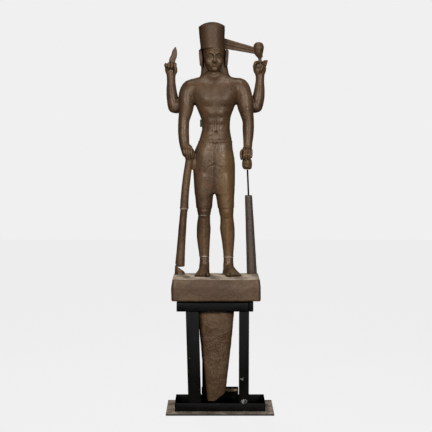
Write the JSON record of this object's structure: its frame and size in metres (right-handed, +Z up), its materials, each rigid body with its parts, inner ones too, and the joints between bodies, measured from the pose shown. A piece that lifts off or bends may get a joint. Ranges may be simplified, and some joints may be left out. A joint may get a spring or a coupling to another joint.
{
  "type": "standing vishnu statue on display stand",
  "caption": "Standing stone Vishnu with tall mitre, raised rear hands and broken maces, its long tenon hung in a black steel display stand.",
  "frame": {"origin": "under the middle of the whole outline, on the floor plane that the base plate stands on", "axes": "+Z up; the figure faces -Y; +X towards the side of the conch (the viewer's right)"},
  "size_m": [0.7234, 0.468, 2.5615],
  "materials": {
    "sandstone": "worn brown sandstone with a semi-gloss patina",
    "black_steel": "satin black paint, chipped at edges",
    "rusty_steel": "brown rusted plate",
    "grey_steel": "dull grey",
    "bearing_pad": "matt black"
  },
  "bodies": {
    "root": {"vishnu_statue": "sandstone", "waist_clasp": "grey_steel", "base_plate": "rusty_steel", "bearing_strip_front": "bearing_pad", "bearing_strip_rear": "bearing_pad", "mace_rod": "black_steel", "rear_prop": "black_steel", "top_beam_front": "black_steel", "top_beam_rear": "black_steel", "top_beam_left": "black_steel", "top_beam_right": "black_steel", "post_front_left": "black_steel", "post_front_right": "black_steel", "post_rear_left": "black_steel", "post_rear_right": "black_steel", "cross_bar_rear": "black_steel", "base_rail_front": "black_steel", "base_rail_rear": "black_steel", "base_rail_left": "black_steel", "base_rail_right": "black_steel", "base_pan": "black_steel"}
  },
  "joints": []
}
